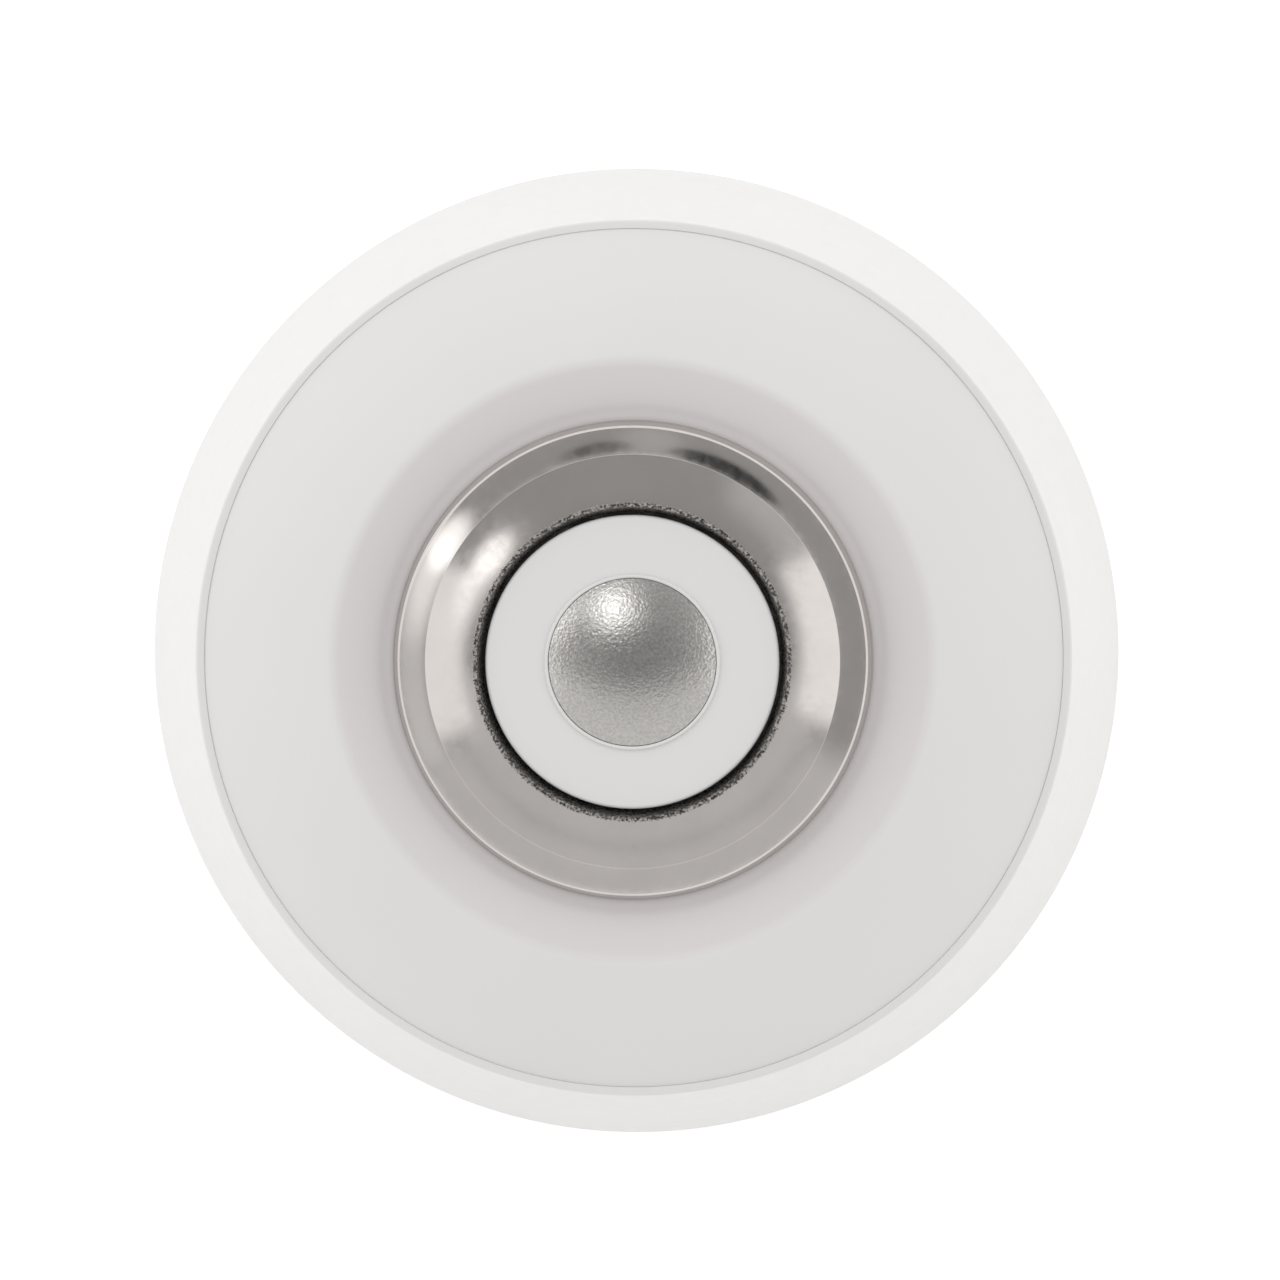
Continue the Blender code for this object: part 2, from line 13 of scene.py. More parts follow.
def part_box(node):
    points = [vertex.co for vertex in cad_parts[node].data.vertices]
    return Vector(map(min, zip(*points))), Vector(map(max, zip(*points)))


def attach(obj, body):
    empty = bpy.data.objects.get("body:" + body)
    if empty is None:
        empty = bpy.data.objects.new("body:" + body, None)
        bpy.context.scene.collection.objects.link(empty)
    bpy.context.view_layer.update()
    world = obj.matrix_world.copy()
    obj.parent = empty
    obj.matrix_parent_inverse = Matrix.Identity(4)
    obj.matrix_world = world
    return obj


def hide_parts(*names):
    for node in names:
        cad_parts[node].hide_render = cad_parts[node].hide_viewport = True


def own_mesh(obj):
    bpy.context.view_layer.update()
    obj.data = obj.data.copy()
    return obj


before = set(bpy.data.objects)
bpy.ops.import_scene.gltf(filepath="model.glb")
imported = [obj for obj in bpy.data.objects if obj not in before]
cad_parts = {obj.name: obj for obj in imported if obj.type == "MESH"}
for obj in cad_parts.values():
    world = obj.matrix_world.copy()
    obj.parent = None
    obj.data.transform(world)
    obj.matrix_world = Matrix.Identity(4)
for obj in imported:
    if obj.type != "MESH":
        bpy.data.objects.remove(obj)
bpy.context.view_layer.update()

MM = 0.001

# The camera stands almost over the puck, leaning a little towards +X and +Y
CAMERA_DISTANCE = 0.70
CAMERA_TILT_X = math.radians(0.7)
CAMERA_TILT_Y = math.radians(1.9)
CAMERA_AIM = Vector((0.4 * MM, 1.2 * MM, 2.5 * MM))
CAMERA_LENS = 190.0

CAMERA_SENSOR = 36.0      # mm, as the lens is

FINE = 224                # segments round a wide turned piece
SMALL = 72                # segments round a screw or a stem
SHARP_DEG = 32.0          # edges sharper than this stay crisp
FLOOR_R = 2.5
FLOOR_DROP = 0.02 * MM    # keeps the floor clear of the foot ring's faces
ROOM = 0.3 * MM           # space left beside a neighbouring piece


# ------------------------------------------------------------ frame measures
def top_of(node):
    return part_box(node)[1][2]


def bottom_of(node):
    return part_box(node)[0][2]


def radius_of(node):
    low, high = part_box(node)
    return (high[0] - low[0]) / 2


def centre_of(node):
    low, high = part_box(node)
    return Vector([(a + b) / 2 for a, b in zip(low, high)])


# ------------------------------------------------------------------ profiles
FILLET_SHARE = 0.48       # the most of a side that a fillet takes up
STRAIGHT_DEG = 176.0      # corners flatter than this need no fillet
ON_AXIS = 1e-7            # profile points nearer than this close on the axis


def bowed(start, end, bow_deg, steps=14):
    """A round stretch of a profile, turning by twice bow_deg to the right."""
    (r0, z0), (r1, z1) = start, end
    chord = math.hypot(r1 - r0, z1 - z0)
    reach = chord / (2 * math.tan(math.radians(bow_deg)))
    centre_r = (r0 + r1) / 2 + (z1 - z0) / chord * reach
    centre_z = (z0 + z1) / 2 - (r1 - r0) / chord * reach
    radius = math.hypot(r0 - centre_r, z0 - centre_z)
    first = math.atan2(z0 - centre_z, r0 - centre_r)
    turn = math.radians(2 * bow_deg)
    points = []
    for i in range(steps + 1):
        angle = first - turn * i / steps
        points.append((centre_r + radius * math.cos(angle), centre_z + radius * math.sin(angle)))
    return points


def fillet(before, corner, after, radius, steps=6):
    """The arc that rounds one corner of a profile, as far as there is room."""
    a = (Vector(before) - Vector(corner)).normalized()
    b = (Vector(after) - Vector(corner)).normalized()
    half = math.acos(max(-1.0, min(1.0, a.dot(b)))) / 2
    if half > math.radians(STRAIGHT_DEG / 2):
        return [tuple(corner)]
    shortest = min((Vector(before) - Vector(corner)).length, (Vector(after) - Vector(corner)).length)
    back = min(radius / math.tan(half), FILLET_SHARE * shortest)
    true_radius = back * math.tan(half)
    middle = Vector(corner) + (a + b).normalized() * (true_radius / math.sin(half))
    start = Vector(corner) + a * back - middle
    end = Vector(corner) + b * back - middle
    sweep = start.angle_signed(end)
    points = []
    for i in range(steps + 1):
        turn = -sweep * i / steps
        c, s = math.cos(turn), math.sin(turn)
        r = middle.x + c * start.x - s * start.y
        z = middle.y + s * start.x + c * start.y
        points.append((r, z))
    return points


def rounded(corners, closed=True):
    """Profile points from corners (r, z) or (r, z, fillet radius)."""
    flat = [c[:2] for c in corners]
    count = len(corners)
    points = []
    for i, c in enumerate(corners):
        ends = not closed and i in (0, count - 1)
        if len(c) == 2 or ends:
            points.append(tuple(c[:2]))
        else:
            points += fillet(flat[i - 1], flat[i], flat[(i + 1) % count], c[2])
    return held(points, closed)


def held(points, closed, near=0.1 * MM):
    """Adds a point close to each end of every long straight run.

    They keep the shading of flat faces flat beside their rounded edges.
    """
    out = []
    count = len(points)
    for i, p in enumerate(points):
        out.append(p)
        if not closed and i == count - 1:
            break
        a = Vector(p)
        b = Vector(points[(i + 1) % count])
        if (b - a).length > 6 * near:
            step = (b - a).normalized() * near
            out.append(tuple(a + step))
            out.append(tuple(b - step))
    return out


def crisp(points, near=0.03 * MM):
    """Holds the shading of a round stretch right up to both of its ends."""
    first, second = Vector(points[0]), Vector(points[1])
    last, before = Vector(points[-1]), Vector(points[-2])
    start = first + (second - first).normalized() * near
    stop = last + (before - last).normalized() * near
    return [points[0], tuple(start), *points[1:-1], tuple(stop), points[-1]]


# ---------------------------------------------------------------- mesh tools
def turned(name, profile, segments=FINE, closed=True, paint=None):
    """A solid of revolution.  An open profile starts and ends on the axis."""
    shape = bmesh.new()
    rings = []
    for r, z in profile:
        if r < ON_AXIS:
            rings.append([shape.verts.new((0.0, 0.0, z))])
            continue
        ring = []
        for k in range(segments):
            angle = math.tau * k / segments
            ring.append(shape.verts.new((r * math.cos(angle), r * math.sin(angle), z)))
        rings.append(ring)
    spans = len(rings) if closed else len(rings) - 1
    for i in range(spans):
        bridge(shape, rings[i], rings[(i + 1) % len(rings)])
    bmesh.ops.recalc_face_normals(shape, faces=shape.faces)
    if paint:
        for face in shape.faces:
            middle = face.calc_center_median()
            face.material_index = paint(math.hypot(middle.x, middle.y), middle.z)
    return shape_to_object(name, shape)


def bridge(shape, one, two):
    """Faces between two rings, either of which may be a single point."""
    count = max(len(one), len(two))
    if count == 1:
        return
    for k in range(count):
        n = (k + 1) % count
        if len(one) == 1:
            shape.faces.new((one[0], two[k], two[n]))
        elif len(two) == 1:
            shape.faces.new((one[n], one[k], two[0]))
        else:
            shape.faces.new((one[n], one[k], two[k], two[n]))


def shape_to_object(name, shape):
    mesh = bpy.data.meshes.new(name)
    shape.to_mesh(mesh)
    shape.free()
    mesh.shade_smooth()
    mesh.set_sharp_from_angle(angle=math.radians(SHARP_DEG))
    obj = bpy.data.objects.new(name, mesh)
    bpy.context.scene.collection.objects.link(obj)
    return obj


def boolean(obj, tools, operation='DIFFERENCE'):
    """Cuts or joins the tools into the object for good and removes them."""
    for tool in tools:
        modifier = obj.modifiers.new(tool.name, 'BOOLEAN')
        modifier.operation = operation
        modifier.object = tool
        modifier.solver = 'EXACT'
    graph = bpy.context.evaluated_depsgraph_get()
    mesh = bpy.data.meshes.new_from_object(obj.evaluated_get(graph))
    obj.modifiers.clear()
    obj.data = mesh
    mesh.shade_smooth()
    mesh.set_sharp_from_angle(angle=math.radians(SHARP_DEG))
    for tool in tools:
        bpy.data.objects.remove(tool, do_unlink=True)
    return obj


def move(obj, x, y, z=0.0):
    """Bakes a move into the mesh, so that the object stays at the origin."""
    obj.data.transform(Matrix.Translation((x, y, z)))
    return obj


def dress(obj, body, slot, nodes, *materials):
    """Puts a piece on its body in place of the CAD nodes it stands for."""
    obj.data.materials.clear()
    for m in materials:
        obj.data.materials.append(m)
    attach(obj, body)
    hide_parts(*nodes)
    return obj


# ----------------------------------------------------------------- materials
TURNING_R = 20.0 * MM     # where the turning marks have their stated pitch
MOAT_SHADE_EDGE = (29.4 * MM, 30.4 * MM)    # the moat's painted shade, darker and pinker, fades out over this
MOAT_CORNER_SHADOW = (24.2 * MM, 25.8 * MM)  # and the darker painted shadow in its corner, at the ring's foot, over this
BORE_EDGE_R = 15.8 * MM   # middle of the ragged edge of the rough bore


class Nodes:
    """Short calls for building a node tree."""

    def __init__(self, tree):
        self.tree = tree

    def node(self, kind, **values):
        made = self.tree.nodes.new(kind)
        for key, value in values.items():
            setattr(made, key, value)
        return made

    def link(self, source, target):
        self.tree.links.new(source, target)

    def math(self, operation, one, two=None):
        made = self.node("ShaderNodeMath", operation=operation)
        for socket, value in zip(made.inputs, (one, two)):
            if value is None:
                continue
            if isinstance(value, (int, float)):
                socket.default_value = value
            else:
                self.link(value, socket)
        return made.outputs[0]

    def split(self, vector):
        """The three coordinates of a vector."""
        parts = self.node("ShaderNodeSeparateXYZ")
        self.link(vector, parts.inputs[0])
        return tuple(parts.outputs)

    def square(self, value):
        return self.math('MULTIPLY', value, value)

    def length(self, x, y):
        """The length of a flat vector."""
        return self.math('SQRT', self.math('ADD', self.square(x), self.square(y)))


class Surface(Nodes):
    """A Principled material with procedural detail in the object's metres."""

    def __init__(self, name, colour, roughness, metallic=0.0):
        self.material = bpy.data.materials.new(name)
        self.material.use_nodes = True
        super().__init__(self.material.node_tree)
        self.shader = self.tree.nodes["Principled BSDF"]
        self.shader.inputs["Metallic"].default_value = metallic
        self.shader.inputs["Base Color"].default_value = (*colour, 1.0)
        self.shader.inputs["Roughness"].default_value = roughness
        self.colour = colour
        self.coords = self.node("ShaderNodeTexCoord").outputs["Object"]
        self.normal = None

    def reach(self):
        """The distance from the axis."""
        x, y, _ = self.split(self.coords)
        return self.length(x, y)

    def polar(self, along, across):
        """Coordinates that run round the axis, for turning marks.

        along is the pattern's pitch round a circle of TURNING_R and across is
        its pitch over the surface, both per metre.
        """
        x, y, z = self.split(self.coords)
        reach = self.length(x, y)
        angle = self.math('ARCTAN2', y, x)
        joined = self.node("ShaderNodeCombineXYZ")
        self.link(self.math('MULTIPLY', angle, along * TURNING_R), joined.inputs[0])
        self.link(self.math('MULTIPLY', reach, across), joined.inputs[1])
        self.link(self.math('MULTIPLY', z, across), joined.inputs[2])
        return joined.outputs[0]

    def noise(self, size, detail=3.0, coords=None):
        """Noise of the given size in metres, or in the units of coords."""
        made = self.node("ShaderNodeTexNoise")
        made.inputs["Scale"].default_value = 1.0 / size
        made.inputs["Detail"].default_value = detail
        self.link(coords or self.coords, made.inputs["Vector"])
        return made.outputs["Fac"]

    def dimples(self, size, smooth=0.6):
        made = self.node("ShaderNodeTexVoronoi", feature='SMOOTH_F1')
        made.inputs["Scale"].default_value = 1.0 / size
        made.inputs["Smoothness"].default_value = smooth
        self.link(self.coords, made.inputs["Vector"])
        return made.outputs["Distance"]

    def ramp(self, value, low, high, start=0.3, stop=0.7):
        """Low up to start, high from stop on, and even between."""
        made = self.node("ShaderNodeMapRange")
        self.link(value, made.inputs["Value"])
        made.inputs["From Min"].default_value = start
        made.inputs["From Max"].default_value = stop
        made.inputs["To Min"].default_value = low
        made.inputs["To Max"].default_value = high
        return made.outputs[0]

    def blend(self, factor, one, two):
        """One where the factor is 0 and two where it is 1."""
        made = self.node("ShaderNodeMix", data_type='FLOAT')
        self.link(factor, made.inputs["Factor"])
        self.link(one, made.inputs["A"])
        self.link(two, made.inputs["B"])
        return made.outputs["Result"]

    def shade(self, value, dark, light=1.0, start=0.3, stop=0.7):
        """Varies the colour between dark and light times its own value."""
        mix = self.node("ShaderNodeMix", data_type='RGBA')
        self.link(self.ramp(value, 0.0, 1.0, start, stop), mix.inputs["Factor"])
        mix.inputs["A"].default_value = (*[c * dark for c in self.colour], 1.0)
        mix.inputs["B"].default_value = (*[min(1.0, c * light) for c in self.colour], 1.0)
        self.link(mix.outputs["Result"], self.shader.inputs["Base Color"])
        return self

    def tint(self, factor, colour):
        """Mixes another colour in over what the base colour has so far."""
        base = self.shader.inputs["Base Color"]
        mix = self.node("ShaderNodeMix", data_type='RGBA')
        self.link(factor, mix.inputs["Factor"])
        self.link(base.links[0].from_socket, mix.inputs["A"])
        mix.inputs["B"].default_value = (*colour, 1.0)
        self.link(mix.outputs["Result"], base)
        return self

    def rough(self, value, low, high):
        """Varies the roughness between low and high."""
        self.link(self.ramp(value, low, high), self.shader.inputs["Roughness"])
        return self

    def bump(self, height, depth, strength=1.0):
        """Adds one more layer of relief to those made before it."""
        made = self.node("ShaderNodeBump")
        made.inputs["Strength"].default_value = strength
        made.inputs["Distance"].default_value = depth
        self.link(height, made.inputs["Height"])
        if self.normal is not None:
            self.link(self.normal, made.inputs["Normal"])
        self.normal = made.outputs["Normal"]
        self.link(self.normal, self.shader.inputs["Normal"])
        return self


def moulded(name, colour, roughness):
    """Satin moulded plastic: a fine spark-eroded grain and faint flow marks."""
    s = Surface(name, colour, roughness)
    s.shade(s.noise(22 * MM, 2.0), 0.985, 1.0)
    s.rough(s.noise(1.6 * MM, 4.0), roughness - 0.05, roughness + 0.06)
    s.bump(s.noise(0.22 * MM, 3.0), 0.004 * MM, 0.5)
    s.bump(s.noise(9 * MM, 1.0), 0.02 * MM, 0.4)
    s.shader.inputs["IOR"].default_value = 1.5
    s.shader.inputs["Specular IOR Level"].default_value = 0.4
    return s


def crown_plastic():
    """The crown's moulded plastic, with painted shade in its moat: darker and pinker there, and darker
    still in its corner.
    """
    s = moulded("crown_grey", (0.775, 0.767, 0.76), 0.46)
    reach = s.reach()
    # painted shade: the moat beside the tall seat ring, darker and pinker
    s.tint(s.ramp(reach, 1.0, 0.0, *MOAT_SHADE_EDGE), (0.735, 0.707, 0.705))
    # painted shadow: darker still in the moat's corner at the seat ring's foot
    s.tint(s.ramp(reach, 0.3, 0.0, *MOAT_CORNER_SHADOW), (0.60, 0.57, 0.56))
    return s.material


def nickel_plate():
    """Satin nickel on turned steel, with a dark pitted bore."""
    s = Surface("seat_nickel", (0.60, 0.572, 0.55), 0.2, 1.0)
    bore = bore_mask(s)
    s.shade(s.noise(5 * MM, 5.0), 0.94, 1.0)
    pits = s.noise(0.24 * MM, 3.0)
    dark = s.math('MULTIPLY', bore, s.ramp(pits, 1.0, 0.0, 0.43, 0.62))
    s.tint(dark, (0.08, 0.076, 0.072))
    satin = s.ramp(s.noise(0.9 * MM, 5.0), 0.09, 0.16)
    s.link(s.blend(bore, satin, s.ramp(pits, 0.5, 0.7)), s.shader.inputs["Roughness"])
    s.bump(s.noise(1.0, 4.0, s.polar(30.0, 9000.0)), 0.0012 * MM, 0.5)
    s.bump(s.noise(0.16 * MM, 2.0), 0.002 * MM, 0.35)
    s.bump(s.math('MULTIPLY', bore, pits), 0.12 * MM, 0.9)
    return s.material


def bore_mask(s):
    """1 in the seat ring's rough bore and 0 on its plated face."""
    inward = s.math('SUBTRACT', BORE_EDGE_R, s.reach())
    ragged = s.ramp(s.noise(0.22 * MM, 4.0), -0.16 * MM, 0.16 * MM, 0.3, 0.7)
    return s.ramp(s.math('ADD', inward, ragged), 0.0, 1.0, -0.03 * MM, 0.03 * MM)


def highlight_metal(name, colour, roughness):
    """Metal on a narrow edge, brighter than the plating beside it: a painted highlight."""
    s = Surface(name, colour, roughness, 1.0)
    s.rough(s.noise(0.6 * MM, 3.0), roughness - 0.04, roughness + 0.06)
    return s.material


def dimpled_steel():
    """Satin steel of the dome, with a fine hammered skin."""
    s = Surface("dome_steel", (0.705, 0.685, 0.663), 0.17, 1.0)
    s.shade(s.noise(0.26 * MM, 2.0), 0.85, 1.03, 0.35, 0.65)
    s.rough(s.noise(0.5 * MM, 4.0), 0.14, 0.22)
    s.bump(s.dimples(0.34 * MM), 0.016 * MM, 0.6)
    s.bump(s.noise(0.20 * MM, 2.0), 0.020 * MM, 0.7)
    return s.material


def zinc_sheet(name, colour, roughness):
    """Zinc-plated steel: soft spangle, rolling marks and small scratches."""
    s = Surface(name, colour, roughness, 1.0)
    s.shade(s.dimples(3.5 * MM, 0.9), 0.90, 1.04, 0.1, 0.9)
    s.rough(s.noise(1.4 * MM, 6.0), roughness - 0.08, roughness + 0.12)
    s.bump(s.noise(0.35 * MM, 6.0), 0.006 * MM, 0.5)
    return s.material


def turned_metal(name, colour, roughness):
    """Turned or ground metal with fine marks round the axis."""
    s = Surface(name, colour, roughness, 1.0)
    s.shade(s.noise(3 * MM, 4.0), 0.9, 1.05)
    s.rough(s.noise(0.8 * MM, 4.0), roughness - 0.07, roughness + 0.1)
    s.bump(s.noise(1.0, 3.0, s.polar(60.0, 6000.0)), 0.003 * MM, 0.6)
    return s.material


def rubber(name, colour):
    """Matt black rubber with a dusty, mottled skin."""
    s = Surface(name, colour, 0.75)
    s.shade(s.noise(2.0 * MM, 5.0), 0.8, 1.25)
    s.rough(s.noise(0.9 * MM, 4.0), 0.66, 0.86)
    s.bump(s.noise(0.25 * MM, 5.0), 0.02 * MM, 0.6)
    return s.material


# -------------------------------------------------------------------- pieces
def build_skirt(white):
    """The tapered shell, open below for the base plate and the foot ring."""
    base_r = radius_of("skirt")
    low = bottom_of("skirt")
    high = top_of("skirt")
    edge_r = radius_of("crown") + 0.015 * MM
    plate_r = radius_of("base_plate") + ROOM
    ledge_z = top_of("base_plate") + ROOM
    corners = [
        (edge_r, high - 0.02 * MM, 0.10 * MM),
        (edge_r + 0.85 * MM, high - 0.05 * MM, 0.35 * MM),
        (base_r, low + 1.2 * MM, 3.0 * MM),
        (base_r - 0.05 * MM, low, 0.45 * MM),
        (plate_r, low, 0.3 * MM),
        (plate_r, ledge_z, 0.1 * MM),
        (plate_r - 1.9 * MM, ledge_z, 0.2 * MM),
        (plate_r - 1.9 * MM, ledge_z + 1.8 * MM, 0.2 * MM),
        (plate_r - 1.3 * MM, ledge_z + 2.6 * MM, 0.2 * MM),
        (edge_r - 1.2 * MM, high - 2.8 * MM, 0.2 * MM),
        (edge_r - 1.6 * MM, high - 2.3 * MM, 0.2 * MM),
        (edge_r - 1.6 * MM, high - 1.4 * MM, 0.1 * MM),
        (edge_r, high - 1.4 * MM, 0.05 * MM),
    ]
    piece = turned("skirt_shell", rounded(corners))
    return dress(piece, "housing", "skirt_white", ["skirt"], white)


def build_crown(grey):
    """The domed cover, with its moat and the four bosses under it."""
    edge_r = radius_of("crown")
    top = top_of("crown")
    moat = bottom_of("seat_gasket") - ROOM
    boss_low = bottom_of("crown")
    boss_high = 23.6 * MM
    boss_r = 3.0 * MM
    pocket_high = 12.5 * MM
    pocket_r = 2.6 * MM
    moat_under = moat - 2.4 * MM
    edge_z = top_of("skirt") - 0.06 * MM
    seat_z = top_of("skirt") - 1.1 * MM
    top_r = 30.0 * MM
    moat_r = 24.9 * MM
    hole_r = 21.8 * MM
    brow = (top_r, top - 0.02 * MM)
    dome = bowed(brow, (edge_r - 0.1 * MM, edge_z), 11.0, 28)
    profile = [(hole_r, moat)]
    profile += fillet((hole_r, moat), (moat_r, moat), brow, 2.0 * MM, 5)
    profile += fillet((moat_r, moat), brow, dome[3], 3.0 * MM, 8)
    profile += dome[2:]
    profile += [
        (edge_r, edge_z - 0.08 * MM),
        (edge_r, seat_z),
        (edge_r - 2.2 * MM, seat_z),
        (edge_r - 2.9 * MM, seat_z + 0.4 * MM),
        (34.5 * MM, top - 4.0 * MM),
        (29.0 * MM, top - 2.9 * MM),
        (hole_r + 1.0 * MM, moat_under),
        (hole_r, moat_under),
    ]
    piece = turned("crown_cover", held(profile, True))
    bosses = []
    pockets = []
    for i in range(4):
        place = centre_of(f"base_screw_{i + 1}")
        boss = rounded([
            (0.0, boss_high),
            (boss_r, boss_high),
            (boss_r, boss_low, 0.3 * MM),
            (0.0, boss_low),
        ], False)
        bosses.append(move(turned(f"boss_{i}", boss, SMALL, False), place.x, place.y))
        pocket = [
            (0.0, pocket_high),
            (pocket_r, pocket_high),
            (pocket_r, boss_low - MM),
            (0.0, boss_low - MM),
        ]
        pockets.append(move(turned(f"pocket_{i}", pocket, SMALL, False), place.x, place.y))
    boolean(piece, bosses, 'UNION')
    boolean(piece, pockets)
    return dress(piece, "housing", "crown_grey", ["crown"], grey)


def build_seat_ring(nickel, wall):
    """A flat land, two rounded bands with a crease between, and an edge.

    The bore draws in a little below the land, so its rough wall shows.
    """
    outer = radius_of("seat_ring")
    land = top_of("seat_ring")
    foot = bottom_of("seat_gasket")
    spigot_z = bottom_of("seat_ring")
    bore_r = 15.4 * MM
    throat_r = 14.9 * MM
    throat_z = land - 3.2 * MM
    land_outer = 15.75 * MM
    spigot_r = 21.5 * MM
    crease = (20.6 * MM, land - 1.42 * MM)
    rim = (outer - 0.52 * MM, land - 3.65 * MM)
    heel = (outer - 0.12 * MM, foot + 0.45 * MM)
    profile = fillet((bore_r, land - MM), (bore_r, land), (bore_r + MM, land), 0.16 * MM, 6)
    chamfer = (rim[0] - 0.26 * MM, rim[1] + 0.147 * MM)
    profile += crisp(bowed((land_outer, land), crease, 4.0, 18))
    profile += crisp(bowed(crease, chamfer, 5.0, 12))[1:]
    along = (Vector(rim) - Vector(chamfer)).normalized()
    profile += [tuple(Vector(chamfer) + along * 0.03 * MM), tuple(Vector(rim) - along * 0.08 * MM)]
    profile += fillet(chamfer, rim, heel, 0.05 * MM, 4)
    profile += fillet(rim, heel, (outer, foot + 0.2 * MM), 0.10 * MM, 2)
    profile += [
        (outer - 0.02 * MM, foot + 0.30 * MM),
        (outer, foot + 0.22 * MM),
        (outer, foot + 0.02 * MM),
        (23.4 * MM, foot),
        (23.4 * MM, foot + 1.0 * MM),
        (spigot_r + 0.1 * MM, foot + 1.0 * MM),
        (spigot_r, foot),
        (spigot_r, spigot_z),
        (bore_r, spigot_z),
        (bore_r, throat_z - 0.4 * MM),
        (throat_r, throat_z),
    ]
    edge_r = chamfer[0] + 0.01 * MM

    # slot 1, the chamfer and wall, takes the brighter metal: a painted highlight on the rim line
    def painted_highlight_at(r, z):
        return 1 if r > edge_r and z > foot else 0

    piece = turned("seat_ring_plated", held(profile, True), paint=painted_highlight_at)
    return dress(piece, "housing", "seat_nickel", ["seat_ring"], nickel, wall)


def build_cap(white, lip_painted_highlight):
    """The white disc, faintly crowned, with a fine lip round the dome, painted a brighter white as a
    highlight.
    """
    outer = radius_of("plunger_cap")
    top = top_of("plunger_cap")
    neck_z = bottom_of("plunger_cap")
    under = top_of("return_spring") + ROOM
    lip_outer = radius_of("plunger_dome") + 0.02 * MM
    lip_r = 0.18 * MM
    lip_z = top + 0.17 * MM
    lip_steps = 8
    dome_seat = bottom_of("plunger_dome") - ROOM
    magnet_r = radius_of("centre_magnet") + ROOM
    neck_r = 9.5 * MM
    stem_r = 3.3 * MM
    corners = [
        (lip_outer + 0.02 * MM, top, 0.02 * MM),
        (outer, top - 0.06 * MM, 0.35 * MM),
        (outer, under, 0.4 * MM),
        (neck_r, under, 0.2 * MM),
        (neck_r, neck_z, 0.4 * MM),
        (stem_r, neck_z, 0.1 * MM),
        (stem_r, neck_z + 2.5 * MM, 0.1 * MM),
        (magnet_r, neck_z + 2.5 * MM, 0.1 * MM),
        (magnet_r, dome_seat, 0.1 * MM),
        (lip_outer, dome_seat, 0.1 * MM),
        (lip_outer, top - 0.5 * MM),
        (lip_outer - 2 * lip_r, top - 0.3 * MM),
    ]
    profile = rounded(corners)
    for i in range(lip_steps + 1):
        angle = math.pi * (1 - i / lip_steps)
        r = lip_outer - lip_r + lip_r * math.cos(angle)
        profile.append((r, lip_z + lip_r * math.sin(angle)))
    inside = lip_outer - 2.1 * lip_r
    outside = lip_outer + 0.01 * MM

    # slot 1, the lip, takes a brighter white than the cap: a painted highlight
    def painted_highlight_at(r, z):
        return 1 if inside < r < outside and z > top - 0.1 * MM else 0

    piece = turned("plunger_cap_moulded", profile, paint=painted_highlight_at)
    return dress(piece, "plunger", "cap_white", ["plunger_cap"], white, lip_painted_highlight)


def build_dome(steel):
    """A low dome with a narrow step that the cap's lip covers."""
    outer = radius_of("plunger_dome") - 0.1 * MM
    seat = bottom_of("plunger_dome")
    crest = top_of("plunger_dome")
    sphere_r = 34.0 * MM
    edge_r = outer - 0.31 * MM
    centre_z = crest - sphere_r
    stop = math.asin(edge_r / sphere_r)
    steps = 40
    profile = []
    for i in range(steps + 1):
        angle = stop * i / steps
        profile.append((sphere_r * math.sin(angle), centre_z + sphere_r * math.cos(angle)))
    step_z = top_of("plunger_cap") - 0.55 * MM
    profile += [(edge_r, step_z), (outer, step_z), (outer, seat), (0.0, seat)]
    piece = turned("plunger_dome_dimpled", profile, FINE, False)
    return dress(piece, "plunger", "dome_steel", ["plunger_dome"], steel)


def build_foot(black):
    """The rubber ring that the puck stands on, with three fine grooves."""
    outer = radius_of("foot_ring")
    high = top_of("foot_ring")
    inner = outer - 4.8 * MM
    grooves = 3
    groove_z = 0.35 * MM
    pitch = (outer - inner) / (grooves + 1)
    corners = [(inner, high), (outer, high), (outer, 0.0, 0.6 * MM)]
    for i in range(grooves):
        middle = outer - pitch * (i + 1)
        corners += [
            (middle + 0.3 * MM, 0.0, 0.08 * MM),
            (middle + 0.2 * MM, groove_z, 0.08 * MM),
            (middle - 0.2 * MM, groove_z, 0.08 * MM),
            (middle - 0.3 * MM, 0.0, 0.08 * MM),
        ]
    corners.append((inner, 0.0, 0.6 * MM))
    piece = turned("foot_ring_moulded", rounded(corners))
    return dress(piece, "housing", "foot_rubber", ["foot_ring"], black)


def screw_nodes():
    """(node, head radius, shank radius) of each countersunk screw."""
    for i in range(4):
        yield f"base_screw_{i + 1}", 3.0 * MM, 1.5 * MM
    for i in range(3):
        yield f"yoke_screw_{i + 1}", 3.6 * MM, 1.9 * MM


def build_base_plate(zinc):
    """The steel plate, with a countersunk hole for each screw."""
    outer = radius_of("base_plate")
    low = bottom_of("base_plate")
    high = top_of("base_plate")
    inner = 7.5 * MM
    corners = [
        (inner, high, 0.2 * MM),
        (outer, high, 0.3 * MM),
        (outer, low, 0.4 * MM),
        (inner, low, 0.35 * MM),
    ]
    plate = turned("base_plate_pressed", rounded(corners))
    tools = []
    for node, head_r, shank_r in screw_nodes():
        wide = head_r + 0.45 * MM
        narrow = shank_r + 0.36 * MM
        turn_z = low + 0.5 * MM
        hole = [
            (0.0, high + MM),
            (narrow, high + MM),
            (narrow, turn_z + head_r - shank_r),
            (wide, turn_z),
            (wide, low + 0.15 * MM),
            (wide + 0.25 * MM, low - 0.1 * MM),
            (wide + 0.25 * MM, low - MM),
            (0.0, low - MM),
        ]
        place = centre_of(node)
        tools.append(move(turned(f"hole_{node}", hole, SMALL, False), place.x, place.y))
    boolean(plate, tools)
    return dress(plate, "housing", "zinc_plate", ["base_plate"], zinc)


